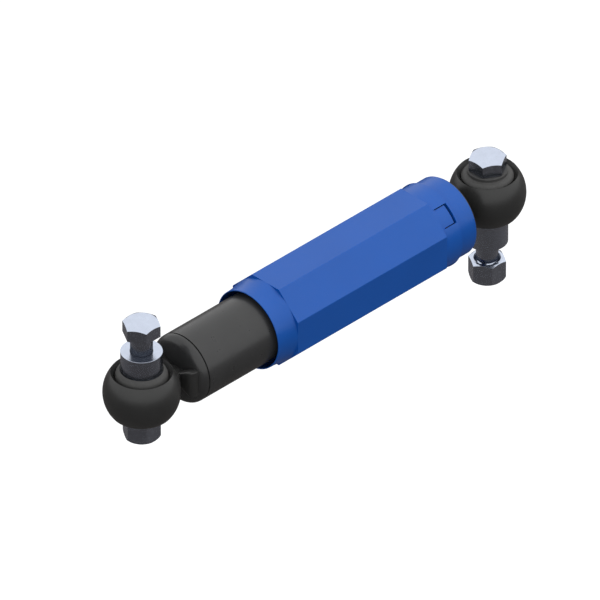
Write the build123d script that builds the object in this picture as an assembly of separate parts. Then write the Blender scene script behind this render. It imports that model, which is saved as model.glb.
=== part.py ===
from build123d import *
import os

# Hydraulic shock absorber for a trailer axle, with its two bushed eyes, spacers, bolts and nuts.
# Millimetres. X runs along the damper from the lower eye to the upper eye, Z runs up along the bolts,
# and the origin is the centre of the lower eye. Parts that lie along X are turned from outlines of
# (x, radius) corners, and parts that lie along Z from outlines of (radius, z) corners.

# Overall layout
EYE_TO_EYE = 300.0
LOWER_REACH = 30.0
UPPER_REACH = 35.0
REBOUND_TRAVEL = 40.0

# Eyes, each a ball cut flat with a bore for the bush and a foot that is welded on
EYE_BALL_R = 24.1
EYE_WIDTH = 24.6
EYE_BORE_R = 17.1
EYE_LIP_ROUND = 1.2
EYE_BORE_CHAMFER = 0.4
NECK_WIDTH = 22.0
FOOT_WIDTH = 37.0
FOOT_HEIGHT = 15.7
FOOT_THICKNESS = 3.5
FOOT_CORNER_R = 3.0
WELD_LEG = 3.0
WELD_HALF = 10.0
WELD_ROOT = 1.0
ROD_SOCKET_DEPTH = 3.0

# Rubber bushes and their steel sleeves
BUSH_DOME_DROP = 1.8
BUSH_DOME_R = 13.0
BUSH_DOME_BULGE_R = 7.0
BUSH_COLLAR_R = 12.7
BUSH_COLLAR_START = 15.0
SLEEVE_R = 10.0
SLEEVE_BORE_R = 7.25
SLEEVE_SPACER_END = 15.6
SLEEVE_COLLAR_END = 18.0
BUSH_END_GAP = 0.3
TURNING_GAP = 0.05

# Bolts, spacers and locking nuts, M14
BOLT_R = 7.0
BOLT_END_CHAMFER = 1.2
LOWER_BOLT_LENGTH = 75.0
UPPER_BOLT_LENGTH = 80.0
HEX_ACROSS_FLATS = 21.0
LOWER_HEAD_TURN = 0.0
UPPER_HEAD_TURN = 30.0
NUT_TURN = 0.0
HEX_CHAMFER_R = 10.0
HEX_CHAMFER_TAN = 0.5774
HEAD_HEIGHT = 8.8
NUT_HEIGHT = 15.0
NUT_DOME_R = 3.7
NUT_DOME_CENTRE_R = 8.65
NUT_COUNTERSINK = 1.5
NUT_LIP = 0.9
NUT_LIP_R = 8.1
INSERT_WALL = 2.3
INSERT_HEIGHT = 2.6
SPACER_R = 13.0
SPACER_EDGE = 0.5
LOWER_SPACER_LENGTH = 14.8
UPPER_SPACER_LENGTH = 20.5
LOWER_BRACKET_GAP = 12.6
UPPER_BRACKET_GAP = 13.1

# Base cap and reservoir tube
RESERVOIR_R = 23.0
RESERVOIR_WALL = 2.0
RESERVOIR_LENGTH = 172.1
RESERVOIR_LIP_BORE_R = 18.5
RESERVOIR_LIP_ROUND = 1.8
CAP_ROUND = 5.2
CAP_SKIRT = 0.2
CAP_WALL = 3.0
CAP_FLOOR_ROUND = 1.5
CAP_SPIGOT_LENGTH = 7.0
CAP_SPIGOT_WALL = 2.45
SEAM_WIDTH = 1.0
SEAM_DEPTH = 0.9
PRESS_GAP = 0.05

# Pressure tube, foot valve
PRESSURE_BORE_R = 14.0
PRESSURE_WALL = 1.5
VALVE_LEG_LENGTH = 8.0
VALVE_LEG_WALL = 2.9
VALVE_LEG_GAP = 9.0
VALVE_PLATE = 7.0
VALVE_SPIGOT = 4.0
VALVE_PIN_R = 3.0
VALVE_PIN_HUB_R = 4.5
VALVE_PIN_HUB = 3.0
VALVE_PIN_HEAD_R = 8.5
VALVE_PIN_HEAD = 2.0
VALVE_RIVET_R = 5.0
VALVE_RIVET = 1.3

# Ports, plates, springs and shims shared by the foot valve and the piston
PORT_COUNT = 6
INNER_PORT_R = 1.1
INNER_PORT_CIRCLE_R = 6.7
OUTER_PORT_R = 1.3
OUTER_PORT_CIRCLE_R = 10.4
SEAT_DEPTH = 0.8
SEAT_LAND = 0.35
PLATE_R = 12.6
PLATE_THICKNESS = 0.8
PLATE_GUIDE_GAP = 0.1
SPRING_THICKNESS = 0.3
SPRING_R = 10.6
SPRING_HUB_WALL = 1.4
SPRING_SLOT = 1.6
SHIM_COUNT = 3
SHIM_THICKNESS = 0.4
SHIM_R = 8.4
SHIM_STEP = 0.6
SHIM_WASHER = 1.5
SHIM_WASHER_R = 6.6
SHIM_BORE_GAP = 0.05

# Piston rod and piston
ROD_R = 6.0
ROD_STEP_R = 4.0
ROD_END_CHAMFER = 0.6
ROD_TIP = 1.0
PISTON_R = 13.7
PISTON_LENGTH = 12.0
BAND_WIDTH = 6.8
BAND_THICKNESS = 1.0
BAND_SIDE_GAP = 0.1
BAND_SPLIT = 0.6
BAND_SPLIT_ANGLE = 20.0
RETAINER_HUB_R = 5.2
RETAINER_FLANGE_R = 11.2
RETAINER_FLANGE = 1.4
RETAINER_HUB = 2.6
PISTON_NUT_ACROSS_FLATS = 13.0
PISTON_NUT_HEIGHT = 7.0
STOP_SETBACK = 0.6
STOP_R = 9.0
STOP_LENGTH = 2.0
STOP_GROOVE = 0.5
BUFFER_R = 11.5
BUFFER_LENGTH = 3.0
BUFFER_ROUND = 1.0
BUFFER_GAP = 0.4

# Rod guide, seal and gland
GUIDE_SPIGOT = 4.0
GUIDE_BODY = 14.0
SEAL_POCKET = 6.0
SEAL_POCKET_R = 16.2
GUIDE_BUSH_WALL = 1.5
GUIDE_BUSH_SETBACK = 1.0
ROD_RUNNING_GAP = 0.04
DRAIN_COUNT = 4
DRAIN_R = 1.2
O_RING_SECTION_R = 0.9
O_RING_BACK = 3.4
SEAL_GAP = 0.1
SEAL_LIP = 0.6
SEAL_LIP_GAP = 0.06
SEAL_THROAT_R = 7.8
SEAL_CAVITY_R = 11.0
SEAL_CAVITY_DEPTH = 2.5
GARTER_SECTION_R = 0.6
GARTER_LINE_R = 9.1
GARTER_SETBACK = 1.5
GLAND_THICKNESS = 2.5
GLAND_BORE_GAP = 1.0

# Moulded dust tube
DUST_OCTAGON_APOTHEM = 28.3
DUST_OCTAGON_TURN = 22.5
DUST_EDGE_ROUND = 1.0
DUST_WALL = 2.5
DUST_RIM_WALL = 0.8
DUST_FLARE = 15.0
DUST_OCTAGON_LENGTH = 129.5
DUST_RING_LENGTH = 13.5
DUST_COLLAR_LENGTH = 14.1
DUST_COLLAR_STEP = 1.7
DUST_RIM_ROUND = 0.35
DUST_CORE_MARGIN = 3.0
TONGUE_COUNT = 4
TONGUE_FIRST_ANGLE = 45.0
TONGUE_WINDOW_WIDTH = 13.8
TONGUE_WINDOW_START = 1.6
TONGUE_WINDOW_END_MARGIN = 1.1
TONGUE_ROOT = 1.6
TONGUE_RECESS = 1.0
TONGUE_SIDE_SLIT = 0.6
TONGUE_END_SLIT = 1.3
BARB_DEPTH = 1.0
BARB_LENGTH = 2.6

# Top cap on the rod, which the dust tube snaps onto
TOP_CAP_SKIRT_WALL = 1.9
TOP_CAP_SKIRT_GAP = 0.3
TOP_CAP_SKIRT_LENGTH = 22.5
TOP_CAP_DISC = 3.0
TOP_CAP_FLANGE = 1.3
TOP_CAP_FLANGE_ROUND = 0.8
TOP_CAP_GROOVE_GAP = 0.3

# Places along the damper, worked out from the sizes above
base_face = LOWER_REACH
seam_start = base_face + CAP_ROUND + CAP_SKIRT
seam = seam_start + SEAM_WIDTH
base_floor = base_face + CAP_WALL
reservoir_end = seam + RESERVOIR_LENGTH
reservoir_bore_r = RESERVOIR_R - RESERVOIR_WALL
cap_spigot_r = reservoir_bore_r - PRESS_GAP
cap_hollow_r = cap_spigot_r - CAP_SPIGOT_WALL
valve_plate_r = cap_hollow_r - CAP_FLOOR_ROUND - SEAL_GAP
valve_left = base_floor + VALVE_LEG_LENGTH
valve_shoulder = valve_left + VALVE_PLATE
valve_right = valve_shoulder + VALVE_SPIGOT
gland_end = reservoir_end - RESERVOIR_WALL
gland_start = gland_end - GLAND_THICKNESS
guide_shoulder = gland_start - GUIDE_BODY
guide_face = guide_shoulder - GUIDE_SPIGOT
seal_floor = gland_start - SEAL_POCKET
guide_r = reservoir_bore_r - SEAL_GAP
pressure_r = PRESSURE_BORE_R + PRESSURE_WALL
buffer_end = guide_face - REBOUND_TRAVEL - BUFFER_GAP
stop_end = buffer_end - BUFFER_LENGTH
stop_start = stop_end - STOP_LENGTH
rod_shoulder = stop_start - STOP_SETBACK
retainer_start = rod_shoulder - RETAINER_FLANGE
piston_right = retainer_start - RETAINER_HUB
piston_left = piston_right - PISTON_LENGTH
shims_depth = SHIM_COUNT * SHIM_THICKNESS
piston_nut_right = piston_left - shims_depth - SHIM_WASHER
piston_nut_left = piston_nut_right - PISTON_NUT_HEIGHT
rod_tip = piston_nut_left - ROD_TIP
top_face = EYE_TO_EYE - UPPER_REACH
rod_end = top_face + ROD_SOCKET_DEPTH
dust_end = top_face - TOP_CAP_FLANGE
dust_collar_start = dust_end - DUST_COLLAR_LENGTH
dust_ring_start = dust_collar_start - DUST_RING_LENGTH
dust_octagon_start = dust_ring_start - DUST_OCTAGON_LENGTH
dust_rim = dust_octagon_start - DUST_FLARE
dust_bore_r = DUST_OCTAGON_APOTHEM - DUST_WALL
dust_collar_r = DUST_OCTAGON_APOTHEM - DUST_COLLAR_STEP
tongue_window_start = dust_ring_start + TONGUE_WINDOW_START
tongue_window_end = dust_collar_start - TONGUE_WINDOW_END_MARGIN
tongue_tip = tongue_window_end - TONGUE_END_SLIT
barb_start = tongue_tip - BARB_LENGTH
bush_r = SLEEVE_R + TURNING_GAP
nut_bore_r = BOLT_R + TURNING_GAP
insert_r = nut_bore_r + INSERT_WALL


def outline(corners):
    """A closed flat outline; a third number on a corner is the radius that rounds it."""
    face = make_face(Polyline(*[corner[:2] for corner in corners], close=True))
    for corner in corners:
        if len(corner) == 3:
            vertex = face.vertices().sort_by_distance((corner[0], corner[1], 0))[0]
            face = fillet(vertex, corner[2])
    return face


def turned_x(corners):
    """A solid turned about the damper's axis from (x, radius) corners."""
    return revolve(outline(corners), Axis.X)


def turned_z(corners):
    """A solid turned about the upright axis from (radius, z) corners."""
    return revolve(Plane.XZ * outline(corners), Axis.Z)


def ring(start, end, outer_r, inner_r=0.0):
    """A disc or a ring along the damper's axis."""
    face = Circle(outer_r)
    if inner_r:
        face -= Circle(inner_r)
    return extrude(Plane.YZ.offset(start) * face, end - start)


def torus_x(place, line_r, section_r):
    """A round ring about the damper's axis."""
    section = Pos(place, line_r) * Circle(section_r)
    return revolve(section, Axis.X)


def hole_circle(count, circle_r, hole_r, start, end, first_angle=0.0):
    """Round holes along X, evenly spaced on a circle."""
    holes = PolarLocations(circle_r, count, start_angle=first_angle) * Circle(hole_r)
    return extrude(Plane.YZ.offset(start) * Sketch(holes), end - start)


def prism(across_flats, sides, start, end, corner_angle=0.0, edge_round=0.0):
    """A regular prism along X. Corner angle 0 puts a corner on the prism's first cross axis."""
    face = RegularPolygon(across_flats / 2, sides, major_radius=False, rotation=corner_angle)
    if edge_round:
        face = fillet(face.vertices(), edge_round)
    return extrude(Plane.YZ.offset(start) * face, end - start)


def base_cap_blank():
    """The outside of the base cap with nothing hollowed, stepped down beside the tube's end."""
    step_r = RESERVOIR_R - SEAM_DEPTH
    return turned_x([
        (base_face, 0),
        (base_face, RESERVOIR_R, CAP_ROUND),
        (seam_start, RESERVOIR_R),
        (seam_start, step_r),
        (seam, step_r),
        (seam, 0),
    ])


def base_cap():
    spigot_end = seam + CAP_SPIGOT_LENGTH
    spigot = ring(seam, spigot_end, cap_spigot_r)
    hollow = turned_x([
        (base_floor, 0),
        (base_floor, cap_hollow_r, CAP_FLOOR_ROUND),
        (spigot_end, cap_hollow_r),
        (spigot_end, 0),
    ])
    return base_cap_blank() + spigot - hollow


def eye(reach):
    """An eye about the upright axis, with its neck and foot towards +X; the foot ends at reach."""
    half = EYE_WIDTH / 2
    rim_r = (EYE_BALL_R**2 - half**2) ** 0.5
    flat = make_face(
        Polyline((rim_r, half), (EYE_BORE_R, half), (EYE_BORE_R, -half), (rim_r, -half))
        + ThreePointArc((rim_r, -half), (EYE_BALL_R, 0), (rim_r, half))
    )
    for z in (half, -half):
        rim = flat.vertices().sort_by_distance((rim_r, z, 0))[0]
        flat = fillet(rim, EYE_LIP_ROUND)
        mouth = flat.vertices().sort_by_distance((EYE_BORE_R, z, 0))[0]
        flat = chamfer(mouth, EYE_BORE_CHAMFER)
    ball = revolve(Plane.XZ * flat, Axis.Z)
    neck = Pos(reach / 2, 0, 0) * Box(reach, NECK_WIDTH, FOOT_HEIGHT)
    return ball, neck - Cylinder(EYE_BORE_R, EYE_WIDTH)


def foot(start, end):
    """The wide foot plate across the end of an eye's neck, with rounded upright corners."""
    plate = Pos((start + end) / 2, 0, 0) * Box(end - start, FOOT_WIDTH, FOOT_HEIGHT)
    front = plate.edges().filter_by(Axis.Z).group_by(Axis.X)[0]
    return fillet(front, FOOT_CORNER_R)


def weld():
    """The concave weld between the top of a foot and the flat face behind it, with round ends."""
    foot_z = FOOT_HEIGHT / 2
    top_z = foot_z + WELD_LEG
    section = make_face(
        RadiusArc((-WELD_LEG, foot_z), (0, top_z), -WELD_LEG)
        + Polyline((0, top_z), (0, foot_z - WELD_ROOT), (-WELD_LEG, foot_z - WELD_ROOT), (-WELD_LEG, foot_z))
    )
    bead = Plane.XZ * section
    run = extrude(bead, WELD_HALF, both=True)
    end = revolve(bead, Axis.Z)
    return run + Pos(0, WELD_HALF, 0) * end + Pos(0, -WELD_HALF, 0) * end


def lower_eye():
    ball, neck = eye(LOWER_REACH)
    plate = foot(LOWER_REACH - FOOT_THICKNESS, seam_start)
    upper_weld = Pos(LOWER_REACH, 0, 0) * weld()
    lower_weld = Rot(180, 0, 0) * upper_weld
    return ball + (neck + plate + upper_weld + lower_weld - base_cap_blank())


def upper_eye():
    ball, neck = eye(UPPER_REACH)
    plate = foot(UPPER_REACH - FOOT_THICKNESS, UPPER_REACH)
    turned_round = Rot(0, 0, 180) * (ball + neck + plate)
    socket = ring(top_face, rod_end, ROD_R)
    return Pos(EYE_TO_EYE, 0, 0) * turned_round - socket


def bush():
    """A rubber bush with its dome on the +Z side and its collar on the -Z side."""
    edge_z = EYE_WIDTH / 2 - BUSH_DOME_DROP
    top_z = SLEEVE_SPACER_END - BUSH_END_GAP
    bottom_z = BUSH_END_GAP - SLEEVE_COLLAR_END
    collar_z = -BUSH_COLLAR_START
    lines = Polyline(
        (BUSH_DOME_R, top_z), (bush_r, top_z), (bush_r, bottom_z),
        (BUSH_COLLAR_R, bottom_z), (BUSH_COLLAR_R, collar_z),
    )
    lines += RadiusArc((BUSH_COLLAR_R, collar_z), (EYE_BORE_R, -edge_z), -BUSH_DOME_BULGE_R)
    lines += Line((EYE_BORE_R, -edge_z), (EYE_BORE_R, edge_z))
    lines += RadiusArc((EYE_BORE_R, edge_z), (BUSH_DOME_R, top_z), -BUSH_DOME_BULGE_R)
    return revolve(Plane.XZ * make_face(lines), Axis.Z)


def sleeve():
    """The steel tube in a bush, from the spacer's seat down to the end beyond the collar."""
    return turned_z([
        (SLEEVE_BORE_R, -SLEEVE_COLLAR_END),
        (SLEEVE_R, -SLEEVE_COLLAR_END),
        (SLEEVE_R, SLEEVE_SPACER_END),
        (SLEEVE_BORE_R, SLEEVE_SPACER_END),
    ])


def spacer(length):
    """A distance tube that stands on a sleeve's end."""
    start = SLEEVE_SPACER_END
    end = start + length
    return turned_z([
        (SLEEVE_BORE_R, start),
        (SPACER_R - SPACER_EDGE, start),
        (SPACER_R, start + SPACER_EDGE),
        (SPACER_R, end - SPACER_EDGE),
        (SPACER_R - SPACER_EDGE, end),
        (SLEEVE_BORE_R, end),
    ])


def hexagon(bottom, top, across_flats, turn):
    """A hexagonal bar along Z. Turn 0 puts two corners on the X axis."""
    face = RegularPolygon(across_flats / 2, 6, major_radius=False, rotation=turn)
    return extrude(Plane.XY.offset(bottom) * face, top - bottom)


def chamfer_envelope(bottom, top):
    """A turned envelope, wider than a hexagon, that takes its top corners off at thirty degrees."""
    wide_r = HEX_ACROSS_FLATS
    shoulder = top - (wide_r - HEX_CHAMFER_R) * HEX_CHAMFER_TAN
    return turned_z([(0, bottom), (wide_r, bottom), (wide_r, shoulder), (HEX_CHAMFER_R, top), (0, top)])


def bolt(length, seat_z, turn):
    """A hexagon head bolt whose head stands on seat_z and whose shank points down."""
    top = seat_z + HEAD_HEIGHT
    head = hexagon(seat_z, top, HEX_ACROSS_FLATS, turn) & chamfer_envelope(seat_z, top)
    tip = seat_z - length
    shank = turned_z([
        (0, tip),
        (BOLT_R - BOLT_END_CHAMFER, tip),
        (BOLT_R, tip + BOLT_END_CHAMFER),
        (BOLT_R, seat_z),
        (0, seat_z),
    ])
    return head + shank


def nut_insert_span(top):
    """Where the nylon ring starts and ends below a nut's top face."""
    low = top - NUT_HEIGHT + NUT_LIP
    return low, low + INSERT_HEIGHT


def nut(top):
    """A locking nut: hexagon above, domed collar below with a pocket for the nylon ring."""
    bottom = top - NUT_HEIGHT
    dome_z = bottom + NUT_DOME_R
    envelope = chamfer_envelope(dome_z, top)
    collar_r = NUT_DOME_CENTRE_R + NUT_DOME_R
    rounding = Polyline((0, dome_z), (0, bottom), (NUT_DOME_CENTRE_R, bottom))
    rounding += RadiusArc((NUT_DOME_CENTRE_R, bottom), (collar_r, dome_z), -NUT_DOME_R)
    rounding += Line((collar_r, dome_z), (0, dome_z))
    collar = revolve(Plane.XZ * make_face(rounding), Axis.Z)
    body = hexagon(bottom, top, HEX_ACROSS_FLATS, NUT_TURN) & (envelope + collar)
    low, high = nut_insert_span(top)
    bore = turned_z([
        (0, bottom),
        (NUT_LIP_R, bottom),
        (NUT_LIP_R, low - TURNING_GAP),
        (insert_r + TURNING_GAP, low - TURNING_GAP),
        (insert_r + TURNING_GAP, high + TURNING_GAP),
        (nut_bore_r, high + TURNING_GAP),
        (nut_bore_r, top - NUT_COUNTERSINK),
        (nut_bore_r + NUT_COUNTERSINK, top),
        (0, top),
    ])
    return body - bore


def nut_insert(top):
    """The nylon locking ring inside a nut."""
    low, high = nut_insert_span(top)
    return turned_z([(nut_bore_r, low), (insert_r, low), (insert_r, high), (nut_bore_r, high)])


def reservoir_tube():
    """The outer tube, rolled over the gland at its far end."""
    return turned_x([
        (seam, reservoir_bore_r),
        (seam, RESERVOIR_R),
        (reservoir_end, RESERVOIR_R, RESERVOIR_LIP_ROUND),
        (reservoir_end, RESERVOIR_LIP_BORE_R),
        (gland_end, RESERVOIR_LIP_BORE_R),
        (gland_end, reservoir_bore_r),
    ])


def pressure_tube():
    return ring(valve_shoulder, guide_shoulder, pressure_r, PRESSURE_BORE_R)


def ported(body, left, right):
    """Drills the two circles of ports through a valve body and sinks a seat round each."""
    half_step = 180 / PORT_COUNT
    body -= hole_circle(PORT_COUNT, INNER_PORT_CIRCLE_R, INNER_PORT_R, left, right)
    body -= hole_circle(PORT_COUNT, OUTER_PORT_CIRCLE_R, OUTER_PORT_R, left, right, half_step)
    inner = INNER_PORT_R + SEAT_LAND
    outer = OUTER_PORT_R + SEAT_LAND
    body -= ring(left, left + SEAT_DEPTH, INNER_PORT_CIRCLE_R + inner, INNER_PORT_CIRCLE_R - inner)
    body -= ring(right - SEAT_DEPTH, right, OUTER_PORT_CIRCLE_R + outer, OUTER_PORT_CIRCLE_R - outer)
    return body


def foot_valve_body():
    """The foot valve's body: legs on the base cap, a ported plate and a spigot in the pressure tube."""
    leg_bore_r = valve_plate_r - VALVE_LEG_WALL
    body = ring(valve_left, valve_shoulder, valve_plate_r)
    body += ring(valve_shoulder, valve_right, PRESSURE_BORE_R - PRESS_GAP)
    legs = ring(base_floor, valve_left, valve_plate_r, leg_bore_r)
    gap = Pos((base_floor + valve_left) / 2, 0, 0) * Box(VALVE_LEG_LENGTH, 2 * RESERVOIR_R, VALVE_LEG_GAP)
    legs -= gap
    legs -= Rot(90, 0, 0) * gap
    body = ported(body + legs, valve_left, valve_right)
    return body - ring(valve_left, valve_right, VALVE_PIN_R)


def foot_valve_pin():
    """The pin that rivets the foot valve together and carries the intake spring under its head."""
    rivet_end = valve_left - shims_depth - SHIM_WASHER
    hub_end = valve_right + VALVE_PIN_HUB
    head_end = hub_end + VALVE_PIN_HEAD
    return turned_x([
        (rivet_end - VALVE_RIVET, 0),
        (rivet_end - VALVE_RIVET, VALVE_RIVET_R, VALVE_RIVET / 2),
        (rivet_end, VALVE_RIVET_R),
        (rivet_end, VALVE_PIN_R),
        (valve_right, VALVE_PIN_R),
        (valve_right, VALVE_PIN_HUB_R),
        (hub_end, VALVE_PIN_HUB_R),
        (hub_end, VALVE_PIN_HEAD_R),
        (head_end, VALVE_PIN_HEAD_R, VALVE_PIN_HEAD / 2),
        (head_end, 0),
    ])


def shims(face, bore_r):
    """A stack of thin discs on the -X side of face, each smaller than the one before it."""
    discs = []
    for index in range(SHIM_COUNT):
        right = face - index * SHIM_THICKNESS
        disc_r = SHIM_R - index * SHIM_STEP
        discs.append(ring(right - SHIM_THICKNESS, right, disc_r, bore_r + SHIM_BORE_GAP))
    return Compound(children=[disc.solid() for disc in discs])


def shim_washer(face, bore_r):
    right = face - shims_depth
    return ring(right - SHIM_WASHER, right, SHIM_WASHER_R, bore_r + SHIM_BORE_GAP)


def check_plate(face, hub_r):
    """The light plate that covers the outer ports and leaves the inner ones open."""
    end = face + PLATE_THICKNESS
    plate = ring(face, end, PLATE_R, hub_r + PLATE_GUIDE_GAP)
    return plate - hole_circle(PORT_COUNT, INNER_PORT_CIRCLE_R, INNER_PORT_R, face, end)


def plate_spring(face, hub_r, height):
    """A slotted cone spring between a check plate's back and the flange above it."""
    start = face + PLATE_THICKNESS
    end = face + height
    inner_r = hub_r + PLATE_GUIDE_GAP
    rise = end - start - SPRING_THICKNESS
    cone = turned_x([
        (start, SPRING_R),
        (start + SPRING_THICKNESS, SPRING_R),
        (end, inner_r + SPRING_HUB_WALL),
        (end, inner_r),
        (start + rise, inner_r),
        (start + rise, inner_r + SPRING_HUB_WALL),
    ])
    slot_start = inner_r + 2 * SPRING_HUB_WALL
    for index in range(PORT_COUNT):
        slot = Pos((start + end) / 2, slot_start + SPRING_R / 2, 0) * Box(height, SPRING_R, SPRING_SLOT)
        cone -= Rot(index * 360 / PORT_COUNT, 0, 0) * slot
    return cone


def piston():
    body = turned_x([
        (piston_left, ROD_STEP_R),
        (piston_left, PISTON_R, SHIM_THICKNESS),
        (piston_right, PISTON_R, SHIM_THICKNESS),
        (piston_right, ROD_STEP_R),
    ])
    groove_r = PRESSURE_BORE_R - TURNING_GAP - BAND_THICKNESS - TURNING_GAP
    middle = (piston_left + piston_right) / 2
    groove_half = BAND_WIDTH / 2 + BAND_SIDE_GAP
    body -= ring(middle - groove_half, middle + groove_half, PRESSURE_BORE_R, groove_r)
    return ported(body, piston_left, piston_right)


def piston_band():
    """The split sliding band round the piston."""
    middle = (piston_left + piston_right) / 2
    outer_r = PRESSURE_BORE_R - TURNING_GAP
    band = ring(middle - BAND_WIDTH / 2, middle + BAND_WIDTH / 2, outer_r, outer_r - BAND_THICKNESS)
    saw = Rot(BAND_SPLIT_ANGLE, 0, 0) * Box(2 * BAND_WIDTH, BAND_SPLIT, 4 * BAND_THICKNESS)
    return band - Pos(middle, 0, outer_r) * saw


def piston_retainer():
    """The flanged collar that clamps the piston against the rod's shoulder."""
    body = ring(piston_right, retainer_start, RETAINER_HUB_R, ROD_STEP_R)
    body += ring(retainer_start, rod_shoulder, RETAINER_FLANGE_R, ROD_STEP_R)
    notch_circle_r = INNER_PORT_CIRCLE_R + INNER_PORT_R
    return body - hole_circle(PORT_COUNT, notch_circle_r, INNER_PORT_R, piston_right, rod_shoulder)


def piston_nut():
    blank = prism(PISTON_NUT_ACROSS_FLATS, 6, piston_nut_left, piston_nut_right)
    return blank - ring(piston_nut_left, piston_nut_right, ROD_STEP_R)


def piston_rod():
    groove_r = ROD_R - STOP_GROOVE
    return turned_x([
        (rod_tip, 0),
        (rod_tip, ROD_STEP_R - ROD_END_CHAMFER),
        (rod_tip + ROD_END_CHAMFER, ROD_STEP_R),
        (rod_shoulder, ROD_STEP_R),
        (rod_shoulder, ROD_R),
        (stop_start, ROD_R),
        (stop_start, groove_r),
        (stop_end, groove_r),
        (stop_end, ROD_R),
        (rod_end, ROD_R),
        (rod_end, 0),
    ])


def rebound_stop():
    return ring(stop_start, stop_end, STOP_R, ROD_R - STOP_GROOVE)


def rebound_buffer():
    return turned_x([
        (stop_end, ROD_R),
        (stop_end, BUFFER_R),
        (buffer_end, BUFFER_R, BUFFER_ROUND),
        (buffer_end, ROD_R),
    ])


def rod_guide():
    """The guide that closes the pressure tube, with a bushed bore and a pocket for the seal."""
    bush_bore_r = ROD_R + ROD_RUNNING_GAP + GUIDE_BUSH_WALL
    body = turned_x([
        (guide_face, bush_bore_r),
        (guide_face, PRESSURE_BORE_R - PRESS_GAP),
        (guide_shoulder, PRESSURE_BORE_R - PRESS_GAP),
        (guide_shoulder, guide_r),
        (gland_start, guide_r),
        (gland_start, SEAL_POCKET_R),
        (seal_floor, SEAL_POCKET_R),
        (seal_floor, bush_bore_r),
    ])
    o_ring_place = gland_start - O_RING_BACK
    groove_r = reservoir_bore_r - 2 * O_RING_SECTION_R
    groove_half = O_RING_SECTION_R + SEAL_GAP
    body -= ring(o_ring_place - groove_half, o_ring_place + groove_half, reservoir_bore_r, groove_r)
    drain_circle_r = (pressure_r + reservoir_bore_r) / 2
    drain_end = o_ring_place - 2 * groove_half
    return body - hole_circle(DRAIN_COUNT, drain_circle_r, DRAIN_R, guide_shoulder, drain_end)


def guide_bush():
    inner_r = ROD_R + ROD_RUNNING_GAP
    return ring(guide_face + GUIDE_BUSH_SETBACK, seal_floor, inner_r + GUIDE_BUSH_WALL, inner_r)


def guide_o_ring():
    line_r = reservoir_bore_r - O_RING_SECTION_R
    return torus_x(gland_start - O_RING_BACK, line_r, O_RING_SECTION_R)


def rod_seal():
    """The rubber seal, with a main lip towards the oil and a wiper lip towards the gland."""
    left = seal_floor + SEAL_GAP
    right = gland_start - SEAL_GAP
    lip_r = ROD_R + SEAL_LIP_GAP
    cavity_end = left + SEAL_CAVITY_DEPTH
    lip_back_r = GARTER_LINE_R - GARTER_SECTION_R
    return turned_x([
        (left, SEAL_CAVITY_R),
        (left, SEAL_POCKET_R - SEAL_GAP),
        (right, SEAL_POCKET_R - SEAL_GAP),
        (right, SEAL_THROAT_R),
        (right - SEAL_LIP, lip_r),
        (right - 2 * SEAL_LIP, lip_r),
        (right - 3 * SEAL_LIP, SEAL_THROAT_R),
        (cavity_end, SEAL_THROAT_R),
        (left + 3 * SEAL_LIP, lip_r),
        (left + 2 * SEAL_LIP, lip_r),
        (left + SEAL_LIP, SEAL_THROAT_R),
        (left + SEAL_LIP, lip_back_r),
        (cavity_end, lip_back_r),
        (cavity_end, SEAL_CAVITY_R),
    ])


def seal_spring():
    """The garter spring that holds the main lip on the rod."""
    return torus_x(seal_floor + SEAL_GAP + GARTER_SETBACK, GARTER_LINE_R, GARTER_SECTION_R)


def gland_cap():
    return ring(gland_start, gland_end, guide_r, ROD_R + GLAND_BORE_GAP)


def tongue_block(start, end, width):
    """A block across the top of the dust tube's wall, as wide as a tongue or its window."""
    depth = DUST_WALL + 2 * BARB_DEPTH
    middle_r = DUST_OCTAGON_APOTHEM - depth / 2 + TONGUE_RECESS
    return Pos((start + end) / 2, 0, middle_r) * Box(end - start, width, depth)


def tongue_cut():
    """What is taken out of the ring round one tongue: a shallow recess and a slit on three sides."""
    window = tongue_block(tongue_window_start, tongue_window_end, TONGUE_WINDOW_WIDTH)
    far_r = DUST_OCTAGON_APOTHEM + DUST_WALL
    recess_r = DUST_OCTAGON_APOTHEM - TONGUE_RECESS
    recess = window & ring(tongue_window_start, tongue_window_end, far_r, recess_r)
    slit_start = tongue_window_start + TONGUE_ROOT
    slit = tongue_block(slit_start, tongue_window_end, TONGUE_WINDOW_WIDTH)
    tongue_width = TONGUE_WINDOW_WIDTH - 2 * TONGUE_SIDE_SLIT
    slit -= tongue_block(tongue_window_start, tongue_tip, tongue_width)
    return recess + slit


def tongue_barb():
    """The hook inside a tongue, square towards the octagon and ramped towards the tube's end."""
    hook = turned_x([
        (barb_start, dust_bore_r + BARB_DEPTH),
        (barb_start, dust_bore_r - BARB_DEPTH),
        (tongue_tip, dust_bore_r),
        (tongue_tip, dust_bore_r + BARB_DEPTH),
    ])
    tongue_width = TONGUE_WINDOW_WIDTH - 2 * TONGUE_SIDE_SLIT
    return hook & tongue_block(barb_start, tongue_tip, tongue_width)


def dust_flare():
    """The mouth of the dust tube, which swells from a thin round rim to the octagon's width."""
    rim_r = dust_bore_r + DUST_RIM_WALL
    lines = TangentArc((dust_rim, rim_r), (dust_octagon_start, DUST_OCTAGON_APOTHEM), tangent=(1, 0))
    lines += Polyline(
        (dust_octagon_start, DUST_OCTAGON_APOTHEM), (dust_octagon_start, dust_bore_r),
        (dust_rim, dust_bore_r), (dust_rim, rim_r),
    )
    face = make_face(lines)
    for r in (rim_r, dust_bore_r):
        rim = face.vertices().sort_by_distance((dust_rim, r, 0))[0]
        face = fillet(rim, DUST_RIM_ROUND)
    return revolve(face, Axis.X)


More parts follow.
